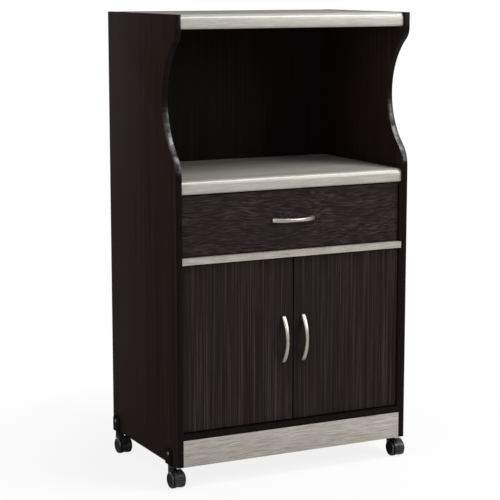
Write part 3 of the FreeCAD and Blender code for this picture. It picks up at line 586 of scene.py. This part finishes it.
# %% [markdown]
# ## Side panels
#
# Each side panel is one 15 mm board. Above the oven shelf its front edge runs back in a waist:
# a short arc turns it away from the front, a long shallow one carries it up, and a tighter arc
# brings it forward again under the top rail. The three arcs meet smoothly, so their angles
# follow from the waist's height and depth. The pen draws that outline from the side.

# %% The waist's three arcs
panel_low, panel_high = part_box("side_panel_left")
shelf_rail_low, shelf_rail_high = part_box("oven_shelf_nosing")
top_rail_low, top_rail_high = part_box("top_nosing")
WAIST_DEPTH = 75 * MM
LOWER_RADIUS = 74 * MM
UPPER_RADIUS = 36 * MM
WAIST_OVER_SHELF_RAIL = 5 * MM
WAIST_UNDER_TOP_RAIL = 2 * MM
waist_start = shelf_rail_high.z + WAIST_OVER_SHELF_RAIL
waist_end = top_rail_low.z - WAIST_UNDER_TOP_RAIL

span = waist_end - waist_start
lower = 2 * WAIST_DEPTH * LOWER_RADIUS - WAIST_DEPTH ** 2
upper = 2 * WAIST_DEPTH * UPPER_RADIUS - WAIST_DEPTH ** 2
rise = (span + (lower - upper) / span) / 2
long_radius = (rise ** 2 - lower) / (2 * WAIST_DEPTH)
lower_angle = math.atan2(rise, long_radius + LOWER_RADIUS - WAIST_DEPTH)
upper_angle = math.atan2(span - rise, long_radius + UPPER_RADIUS - WAIST_DEPTH)
print("waist:", round(math.degrees(lower_angle), 1), "and", round(math.degrees(upper_angle), 1),
      "degrees, long radius", round(long_radius, 3))

# %% Draw the panel, ease it, band its edges
front, back = panel_low.y, panel_high.y
bottom, top = panel_low.z, panel_high.z
left_face = panel_low.x
thickness = panel_high.x - panel_low.x

left_panel = pen_down("side_panel_left_board", (left_face, front, bottom))
pen_line((left_face, front, bottom), (left_face, front, waist_start))
pen_arc((left_face, front + LOWER_RADIUS, waist_start), lower_angle, 12)
pen_arc((left_face, front + WAIST_DEPTH - long_radius, waist_start + rise),
        -(lower_angle + upper_angle), 24)
pen_arc((left_face, front + UPPER_RADIUS, waist_end), upper_angle, 10)
pen_line((left_face, front, waist_end), (left_face, front, top), (left_face, back, top),
         (left_face, back, bottom), (left_face, front, bottom))
close_and_thicken(left_panel, (thickness, 0, 0))
ease(left_panel, 0.6 * MM)
right_panel = copied(left_panel, "side_panel_right_board", mirror=True)


def band(panel):
    """Bands the front and back faces. The more the waist looks up, the glossier its band."""
    for finish in (side_foil, edge_band, *(bent for _, bent in bent_bands)):
        panel.data.materials.append(finish)
    for face in panel.data.polygons:
        in_waist = waist_start < face.center.z < waist_end
        bends = sum(face.normal.z > slope for slope, _ in bent_bands) if in_waist else 0
        narrow = abs(face.normal.x) < 0.5 and (in_waist or abs(face.normal.z) < PARALLEL)
        face.material_index = 1 + bends if narrow else 0


for panel, node in ((left_panel, "side_panel_left"), (right_panel, "side_panel_right")):
    band(panel)
    fit(panel, "cabinet", "dark_wood", None, node)

# %% [markdown]
# ## Rails, kick board and shelves
#
# The two grey rails are a rounded rectangle in section: a generous radius where a hand meets the
# top, a smaller one below. A cube is rounded on those two edges alone. The kick board, the rear
# rail, the back panels and the shelf in the cupboard are plain boards with eased edges. The
# cupboard floor is bored for its fittings, so it is a copy of the engineering model's solid, with
# a darker foil on its faces, which is painted shade, and a band on its front edge.

# %% Rounded rails
NOSE_RADIUS = 12 * MM
UNDER_RADIUS = 6.3 * MM


def rail(name, low, high):
    """A board whose front edges are rounded, large above and small below."""
    piece = block(name, low, high)
    round_edges(piece, NOSE_RADIUS, 10,
                lambda at, way: abs(way.x) > PARALLEL and at.y < low.y + MM and at.z > high.z - MM)
    round_edges(piece, UNDER_RADIUS, 8,
                lambda at, way: abs(way.x) > PARALLEL and at.y < low.y + MM and at.z < low.z + MM)
    return piece


fit(rail("top_nosing_rail", top_rail_low, top_rail_high), "cabinet", "grey_oak", grey_rail, "top_nosing")
fit(rail("oven_shelf_nosing_rail", shelf_rail_low, shelf_rail_high), "cabinet", "grey_oak",
    grey_rail, "oven_shelf_nosing")


# %% Plain boards with eased edges
def board(node, material, slot, body="cabinet", radius=0.5 * MM):
    """A board in the place of a node, with its edges eased."""
    piece = block(node + "_eased", *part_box(node))
    ease(piece, radius)
    fit(piece, body, slot, material, node)


board("kick_board", grey_foil, "grey_oak")
board("rear_rail", shelf_foil, "dark_wood")
board("cupboard_shelf", shelf_foil, "dark_wood")
for panel in ("back_panel_upper", "back_panel_lower"):
    board(panel, back_print_and_painted_shade, "hardboard", radius=0.3 * MM)
dress(grey_board, "top_board", "oven_shelf")
dress(grey_foil, "divider_board")

# %% The cupboard floor in a darker foil as painted shade, with its front edge banded
floor_board = smoothed("bottom_board", "cabinet", "dark_wood", None)
floor_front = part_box("bottom_board")[0].y
for finish in (floor_foil_painted_shade, edge_band):
    floor_board.data.materials.append(finish)
for face in floor_board.data.polygons:
    face.material_index = 1 if face.normal.y < -0.5 and face.center.y < floor_front + MM else 0
print("banded:", floor_board.name)

# %% [markdown]
# ## Doors and drawer
#
# The doors and the drawer front keep the engineering model's solids, which are bored for hinges
# and screws and have eased fronts, so they only need their foil. The grain stands upright on the
# doors and lies along the drawer front. The drawer's box is hidden until it is pulled out: its
# sides and bottom keep their solids too, and its back is a plain board.

# %% Dress the doors and the drawer
dress(door_foil, "door_left", "door_right")
dress(drawer_foil, "drawer_front")
dress(box_foil, "drawer_side_left", "drawer_side_right")
board("drawer_back", box_foil, "drawer_board", "drawer")
dress(back_print_and_painted_shade, "drawer_bottom")

# %% [markdown]
# ## Handles
#
# A handle is a cast bow. Seen from the side, an outer arc that ends in two short blunt ends and a
# flatter inner arc make its outline, which the pen draws in one go. Drawn out sideways it is a
# flat bar, which is then slimmed in its middle with a soft falloff, rounded along its edges, more
# on the outside than on the inside, and rounded at its ends.

# %% The bow's outline
HANDLE_LENGTH = 113 * MM
FOOT_LENGTH = 13.5 * MM
PROJECTION = 25 * MM
BAR_THICKNESS = 5.5 * MM
END_HEIGHT = 3.5 * MM
END_WIDTH = 11 * MM
MIDDLE_WIDTH = 8.2 * MM
BOW_STEPS = 32


def bow_arc(half_length, depth):
    """Radius, centre and opening angle of an arc over a chord."""
    radius = (half_length ** 2 + depth ** 2) / (2 * depth)
    return radius, radius - depth, 2 * math.asin(half_length / radius)


half_bow = HANDLE_LENGTH / 2
half_inside = half_bow - FOOT_LENGTH
bow_x = -END_WIDTH / 2
bow = pen_down("door_handle_bow", (bow_x, 0, -half_bow))
pen_line((bow_x, 0, -half_bow), (bow_x, -END_HEIGHT, -half_bow))
radius, centre, angle = bow_arc(half_bow, PROJECTION - END_HEIGHT)
pen_arc((bow_x, centre - END_HEIGHT, 0), angle, BOW_STEPS)
pen_line((bow_x, -END_HEIGHT, half_bow), (bow_x, 0, half_bow), (bow_x, 0, half_inside))
radius, centre, angle = bow_arc(half_inside, PROJECTION - BAR_THICKNESS)
pen_arc((bow_x, centre, 0), -angle, BOW_STEPS)
pen_line((bow_x, 0, -half_inside), (bow_x, 0, -half_bow))
close_and_thicken(bow, (END_WIDTH, 0, 0))
print("bow:", len(bow.data.polygons), "faces")

# %% Slim its middle and round it
OUTER_ROUND = 3.1 * MM
INNER_ROUND = 2.2 * MM
END_ROUND = 2.2 * MM
pick(bow, "VERT", lambda at, way: abs(at.z) < 3 * MM)
bpy.ops.transform.resize(value=(MIDDLE_WIDTH / END_WIDTH, 1, 1), center_override=(0, 0, 0),
                         use_proportional_edit=True, proportional_edit_falloff="SMOOTH",
                         proportional_size=half_bow)
middle_radius, middle_centre, _ = bow_arc(half_bow - FOOT_LENGTH / 2, PROJECTION - BAR_THICKNESS / 2)


def outside(at):
    """True for a point on the outer half of the bow."""
    return math.hypot(at.y - middle_centre, at.z) > middle_radius


round_edges(bow, INNER_ROUND, 4,
            lambda at, way: abs(way.x) < 0.3 and at.y < -MM / 20 and not outside(at))
round_edges(bow, OUTER_ROUND, 6, lambda at, way: abs(way.x) < 0.3 and at.y < -MM / 20 and outside(at))
round_edges(bow, END_ROUND, 4,
            lambda at, way: (abs(way.x) > PARALLEL and abs(at.z) > half_bow - MM / 5
                             and at.y < -END_HEIGHT / 2))
print("rounded bow:", len(bow.data.polygons), "faces")


def handle_place(node):
    """The middle of a handle's foot plane."""
    low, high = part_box(node)
    return (low.x + high.x) / 2, high.y, (low.z + high.z) / 2


for side in ("left", "right"):
    node = "door_handle_" + side
    handle = copied(bow, node + "_bow", handle_place(node))
    fit(handle, "door_" + side, "satin_nickel", nickel_upright, node, smooth=50)

# %% The same bow along the drawer
drawer_bow = copied(bow, "drawer_handle_bow")
pick_all(drawer_bow)
bpy.ops.transform.rotate(value=math.pi / 2, orient_axis="Y", center_override=(0, 0, 0))
bpy.ops.transform.translate(value=handle_place("drawer_handle"))
bpy.ops.object.mode_set(mode="OBJECT")
fit(drawer_bow, "drawer", "satin_nickel", nickel_level, "drawer_handle", smooth=50)
bpy.data.objects.remove(bow)

# %% [markdown]
# ## Screws
#
# Pan-head screws hold the caster brackets, the handles and the hinges. The head is turned from a
# half section, and two thin blocks cut its cross recess. Each group of screws is one head that is
# copied to its places.

# %% A cross-head screw, and a group of them
RECESS_REACH = 0.62  # of the head's radius
RECESS_WIDTH = 0.13


def screw(name, place, out, head_radius, head_height, shank_length, shank_radius):
    """A screw whose head sits on a place and faces out along an axis."""
    place, out = Vector(place), Vector(out)
    profile = [(-shank_length, 0), (-shank_length, shank_radius), (0, shank_radius),
               (0, head_radius), (head_height * 0.35, head_radius),
               (head_height * 0.78, head_radius * 0.82), (head_height, head_radius * 0.45),
               (head_height, 0)]
    piece = turned(name, profile, place, out, steps=24)
    across = [Vector((0, 1, 0)), Vector((0, 0, 1))] if abs(out.x) > 0.5 else \
        [Vector((1, 0, 0)), Vector((0, 0, 1))]
    arm, slit = head_radius * RECESS_REACH, head_radius * RECESS_WIDTH
    for long_way, short_way in (across, across[::-1]):
        reach = long_way * arm + short_way * slit
        corner = place + out * (head_height * 0.55) - reach
        far = place + out * (head_height * 1.2) + reach
        low = [min(a, b) for a, b in zip(corner, far)]
        high = [max(a, b) for a, b in zip(corner, far)]
        cut_away(piece, block("slit", low, high))
    return piece


def screws(name, places, out, head_radius, head_height, shank_length=1 * MM, shank_radius=1 * MM):
    """One screw, copied to several places and joined."""
    first = screw(name, places[0], out, head_radius, head_height, shank_length, shank_radius)
    copies = [copied(first, name, Vector(place) - Vector(places[0])) for place in places[1:]]
    return joined(name, [first] + copies)


print("screws can be made")

# %% Bracket screws and handle screws
HEAD_RADIUS = 4.2 * MM
HEAD_HEIGHT = 2.2 * MM
SHANK_RADIUS = 2 * MM
BRACKET_SCREW_LENGTH = 10 * MM
BRACKET_SCREW_RISE = 27 * MM
brackets = {side: [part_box(f"caster_{end}_{side}_bracket") for end in ("front", "rear")]
            for side in ("left", "right")}
groups = []
for side, out in (("left", (-1, 0, 0)), ("right", (1, 0, 0))):
    places = [(low.x if side == "left" else high.x, (low.y + high.y) / 2, low.z + BRACKET_SCREW_RISE)
              for low, high in brackets[side]]
    groups.append(screws("bracket_screws_" + side, places, out, HEAD_RADIUS, HEAD_HEIGHT,
                         BRACKET_SCREW_LENGTH, SHANK_RADIUS))
fit(joined("caster_bracket_screws", groups), "cabinet", "zinc_steel", dull_zinc, "caster_screws")

for node, body in (("door_handle_screws_left", "door_left"), ("door_handle_screws_right", "door_right"),
                   ("drawer_handle_screws", "drawer")):
    low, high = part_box(node)
    seat = high.y - HEAD_HEIGHT
    ends = [Vector((low.x + HEAD_RADIUS, seat, low.z + HEAD_RADIUS)),
            Vector((high.x - HEAD_RADIUS, seat, high.z - HEAD_RADIUS))]
    pair = screws(node + "_cross", ends, (0, 1, 0), HEAD_RADIUS, HEAD_HEIGHT, seat - low.y, SHANK_RADIUS)
    fit(pair, body, "zinc_steel", zinc, node)

# %% [markdown]
# ## Casters
#
# A caster is a black steel angle on the panel, a hood that swivels on a steel stem, and two
# wheels on one axle. The angle is drawn in section and drawn out, and its upper corners are
# rounded. A wheel is turned: tread, domed face, sunk cap and a pocket on the inside. Near its
# rim the wheel's face is glossier and lighter, and the lighter colour is a painted highlight.

# %% Brackets
PLATE = 3 * MM
CORNER = 9 * MM


def bracket(name, low, high):
    """The angle of a left caster: a plate under the panel and a flange outside it."""
    piece = pen_down(name, (high.x, low.y, low.z))
    pen_line((high.x, low.y, low.z), (low.x, low.y, low.z), (low.x, low.y, high.z),
             (low.x + PLATE, low.y, high.z), (low.x + PLATE, low.y, low.z + PLATE),
             (high.x, low.y, low.z + PLATE), (high.x, low.y, low.z))
    close_and_thicken(piece, (0, high.y - low.y, 0))
    round_edges(piece, CORNER, 8, lambda at, way: abs(way.x) > PARALLEL and at.z > high.z - MM / 2)
    round_edges(piece, 1.2 * MM, 3,
                lambda at, way: abs(way.y) > PARALLEL and at.z < low.z + MM / 2 and at.x < low.x + MM / 2)
    ease(piece, 0.3 * MM)
    return piece


for end, place in (("front", 0), ("rear", 1)):
    made = bracket(f"caster_{end}_left_bracket_angle", *brackets["left"][place])
    twin = copied(made, f"caster_{end}_right_bracket_angle", mirror=True)
    for piece, side in ((made, "left"), (twin, "right")):
        fit(piece, "cabinet", "black_plastic", black_steel, f"caster_{end}_{side}_bracket")

# %% Wheels
BORE_RADIUS = 3.1 * MM
HUB_RADIUS = 6 * MM
POCKET_RADIUS = 16.5 * MM
POCKET_DEPTH = 4.5 * MM
TREAD_END = 8.1 * MM
DOME_START = 8.5 * MM
DOME_STEPS = 8
CAP_RADIUS = 9.5 * MM
# The ring of a wheel's face that is lighter as a painted highlight, and glossier:
PAINTED_HIGHLIGHT_RIM = (0.80, 0.97)  # of the wheel's radius


def wheel_profile(radius, width):
    """A wheel's half section: (distance from its inner face, radius) points."""
    rim = [(0, POCKET_RADIUS), (0, radius - 0.8 * MM), (0.25 * MM, radius - 0.25 * MM),
           (0.8 * MM, radius), (TREAD_END, radius)]
    dome = []
    for step in range(DOME_STEPS + 1):
        turn = math.radians(90 * step / DOME_STEPS)
        dome.append((DOME_START + (width - DOME_START) * math.sin(turn) ** 1.1,
                     CAP_RADIUS + (radius - CAP_RADIUS) * math.cos(turn) ** 0.8))
    cap = [(width - 0.3 * MM, 9.1 * MM), (width - 0.8 * MM, 8.9 * MM), (width - 0.8 * MM, 7.4 * MM),
           (width - 0.35 * MM, 6.6 * MM), (width - 0.25 * MM, 3.0 * MM), (width - 0.25 * MM, 0)]
    hub = [(POCKET_DEPTH, 0), (POCKET_DEPTH, BORE_RADIUS), (0, BORE_RADIUS), (0, HUB_RADIUS),
           (POCKET_DEPTH, HUB_RADIUS), (POCKET_DEPTH, POCKET_RADIUS), (0, POCKET_RADIUS)]
    return rim + dome + cap + hub


def wheel(name, node, side):
    """A wheel in the place of a node. Its inner face looks to the hood's web."""
    low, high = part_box(node)
    out = 1 if side == "right" else -1
    centre = ((low.x if out > 0 else high.x), (low.y + high.y) / 2, (low.z + high.z) / 2)
    radius, width = (high.z - low.z) / 2, high.x - low.x
    return turned(name, wheel_profile(radius, width), centre, (out, 0, 0), steps=64)


def paint_wheel(piece, centre, radius):
    """A glossier rim, lighter in colour as a painted highlight, round a black disc, and a black tread."""
    piece.data.materials.append(black_plastic)
    piece.data.materials.append(rim_plastic_painted_highlight)
    for face in piece.data.polygons:
        away = face.center - centre
        reach = math.hypot(away.y, away.z) / radius
        in_highlight_rim = PAINTED_HIGHLIGHT_RIM[0] < reach < PAINTED_HIGHLIGHT_RIM[1]
        face.material_index = 1 if in_highlight_rim and abs(face.normal.x) > 0.25 else 0


stems = {}
for end in ("front", "rear"):
    for side in ("left", "right"):
        low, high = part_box(f"caster_{end}_{side}_stem")
        stems[end, side] = (low + high) / 2
first_stem = stems["front", "left"]
for hand in ("left", "right"):
    master = wheel("wheel_master", f"caster_front_left_wheel_{hand}", hand)
    low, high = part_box(f"caster_front_left_wheel_{hand}")
    paint_wheel(master, (low + high) / 2, (high.z - low.z) / 2)
    for (end, side), stem in stems.items():
        name = f"caster_{end}_{side}_wheel_{hand}"
        piece = copied(master, name + "_turned", stem - first_stem)
        fit(piece, name, "black_plastic", None, name, smooth=40)
    bpy.data.objects.remove(master)

# %% Hoods, stems and axles
for end, side in stems:
    body = f"caster_{end}_{side}"
    smoothed(body + "_hood", body, "black_plastic", hood_plastic)
    dress(black_steel, body + "_stem")
    dress(zinc, body + "_axle")

# %% [markdown]
# ## Hinges, runners and small metal
#
# These stay hidden until a door or the drawer is open. Their solids are right already: cranked
# arms, flanged cups, channels and rollers. Joined copies let their bends and cups shade
# smoothly. Two small screws hold each hinge plate to its side panel, one above the arm and one
# below it, and two more hold each cup to its door.

# %% Smooth copies of the inner metal
for name, body, slot, material in (
        ("hinge_arms", "cabinet", "zinc_steel", zinc),
        ("hinge_cups_left", "door_left", "zinc_steel", zinc),
        ("hinge_cups_right", "door_right", "zinc_steel", zinc),
        ("cabinet_runners", "cabinet", "coated_steel", coated_steel),
        ("drawer_runners", "drawer", "coated_steel", coated_steel),
        ("cabinet_rollers", "cabinet_rollers", "white_nylon", nylon),
        ("drawer_rollers", "drawer_rollers", "white_nylon", nylon),
        ("cam_locks", "cabinet", "zinc_steel", zinc),
        ("shelf_pins", "cabinet", "zinc_steel", zinc)):
    smoothed(name, body, slot, material)

# %% Hinge screws
SMALL_HEAD_RADIUS = 3.0 * MM
SMALL_HEAD_HEIGHT = 1.5 * MM
PLATE_GAUGE = 1.5 * MM
CUP_HALF_HEIGHT = 26 * MM
CUP_SCREW_OFFSET = 22 * MM
PLATE_SCREW_OFFSET = 10 * MM
PLATE_SCREW_SETBACK = 18.5 * MM
_, arms_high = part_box("hinge_arms")
plate_groups = []
for side, sign in (("left", -1), ("right", 1)):
    low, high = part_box("hinge_cups_" + side)
    levels = (low.z + CUP_HALF_HEIGHT, high.z - CUP_HALF_HEIGHT)
    plate_face = sign * (arms_high.x - PLATE_GAUGE)
    plate_places = [(plate_face, arms_high.y - PLATE_SCREW_SETBACK, level + offset)
                    for level in levels for offset in (-PLATE_SCREW_OFFSET, PLATE_SCREW_OFFSET)]
    plate_groups.append(screws("hinge_plate_screws_" + side, plate_places, (-sign, 0, 0),
                               SMALL_HEAD_RADIUS, SMALL_HEAD_HEIGHT))
    cup_places = [((low.x + high.x) / 2, high.y, level + offset)
                  for level in levels for offset in (-CUP_SCREW_OFFSET, CUP_SCREW_OFFSET)]
    fit(screws("hinge_cup_screws_" + side, cup_places, (0, 1, 0), SMALL_HEAD_RADIUS, SMALL_HEAD_HEIGHT),
        "door_" + side, "zinc_steel", zinc)
fit(joined("hinge_plate_screws", plate_groups), "cabinet", "zinc_steel", zinc)

# %% [markdown]
# ## Light, floor and camera
#
# The stand is shown in a white studio. Large soft lamps and a dim sky light it at a plain level,
# so colours come out about as they are typed. The white background is not more light: rays that
# come from the camera, from a shiny surface or through a clear one see a white sky, and the floor
# fades to the same white away from the stand while it keeps the soft shadow beneath it.

# %% White sky, dim light
WHITE = (1, 1, 1, 1)
SKY_STRENGTH = 0.46
world = bpy.data.worlds.new("studio_sky")
bpy.context.scene.world = world
world.use_nodes = True
world.node_tree.nodes.clear()
ray = add(world, "ShaderNodeLightPath").outputs
seen = add(world, "ShaderNodeMath", {0: ray["Is Camera Ray"], 1: ray["Is Glossy Ray"]},
           operation="MAXIMUM").outputs[0]
seen = add(world, "ShaderNodeMath", {0: seen, 1: ray["Is Transmission Ray"]},
           operation="MAXIMUM").outputs[0]
dim = add(world, "ShaderNodeBackground", {"Color": WHITE, "Strength": SKY_STRENGTH}).outputs[0]
white = add(world, "ShaderNodeBackground", {"Color": WHITE, "Strength": 1.0}).outputs[0]
either = add(world, "ShaderNodeMixShader", {0: seen, 1: dim, 2: white}).outputs[0]
add(world, "ShaderNodeOutputWorld", {"Surface": either})
print("sky strength:", SKY_STRENGTH)

# %% Floor
FLOOR_SIZE = 16
FLOOR_GREY = 0.84
SHADOW_REACH = 0.4  # metres from the middle of the floor
WHITE_FROM = 0.9
NEAR_WHITENESS = 0.86
deselect_all()
bpy.ops.mesh.primitive_plane_add(size=FLOOR_SIZE, location=(0, 0, 0))
floor = bpy.context.object
floor.name = "studio_floor"
floor_paint = bpy.data.materials.new("studio_floor")
floor_paint.use_nodes = True
floor_paint.node_tree.nodes.clear()
matt = add(floor_paint, "ShaderNodeBsdfDiffuse", {"Color": (FLOOR_GREY, FLOOR_GREY, FLOOR_GREY, 1)})
glow = add(floor_paint, "ShaderNodeEmission", {"Color": WHITE, "Strength": 1.0})
place = add(floor_paint, "ShaderNodeTexCoord").outputs["Object"]
distance = add(floor_paint, "ShaderNodeVectorMath", {0: place}, operation="LENGTH").outputs["Value"]
whiteness = remap(floor_paint, distance, SHADOW_REACH, WHITE_FROM, NEAR_WHITENESS, 1.0)
direct = add(floor_paint, "ShaderNodeLightPath").outputs["Is Camera Ray"]
share = add(floor_paint, "ShaderNodeMath", {0: whiteness, 1: direct}, operation="MULTIPLY").outputs[0]
surface = add(floor_paint, "ShaderNodeMixShader", {0: share, 1: matt.outputs[0], 2: glow.outputs[0]})
add(floor_paint, "ShaderNodeOutputMaterial", {"Surface": surface.outputs[0]})
floor.data.materials.append(floor_paint)
floor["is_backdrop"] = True
print("floor:", floor.name)


# %% Softboxes
def softbox(name, place, aim, width, height, power):
    """A large rectangular lamp that looks at a point."""
    lamp = bpy.data.lights.new(name, "AREA")
    lamp.shape = "RECTANGLE"
    lamp.size, lamp.size_y, lamp.energy = width, height, power
    stand = bpy.data.objects.new(name, lamp)
    bpy.context.collection.objects.link(stand)
    stand.location = place
    stand.rotation_euler = (Vector(aim) - Vector(place)).to_track_quat("-Z", "Y").to_euler()


softbox("key_softbox", (1.7, -2.1, 1.7), (0, 0, 0.5), width=1.0, height=1.0, power=29)
softbox("top_softbox", (1.15, -1.05, 2.65), (1.15, -0.1, 0.9), width=1.5, height=0.8, power=46)
softbox("fill_softbox", (-2.5, -1.3, 1.1), (0, 0, 0.45), width=1.4, height=1.6, power=17)
print("lamps are placed")

# %% Camera
CAMERA_PLACE = (-1.8032, -3.5379, 1.1697)
CAMERA_YAW = 26.7
CAMERA_PITCH = 9.377
FOCAL_LENGTH = 118.6
SENSOR_WIDTH = 36
lens = bpy.data.cameras.new("studio_camera")
lens.lens = FOCAL_LENGTH
lens.sensor_width = SENSOR_WIDTH
camera = bpy.data.objects.new("studio_camera", lens)
bpy.context.collection.objects.link(camera)
camera.location = CAMERA_PLACE
camera.rotation_euler = (math.radians(90 - CAMERA_PITCH), 0, math.radians(-CAMERA_YAW))
bpy.context.scene.camera = camera
bpy.context.scene.view_settings.view_transform = "Standard"
print("camera:", CAMERA_PLACE)

# %% [markdown]
# ## The dressed model's size
#
# Looks must not change the size, so the dressed model's box is measured over everything that
# renders.

# %% The dressed model's box
low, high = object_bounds()
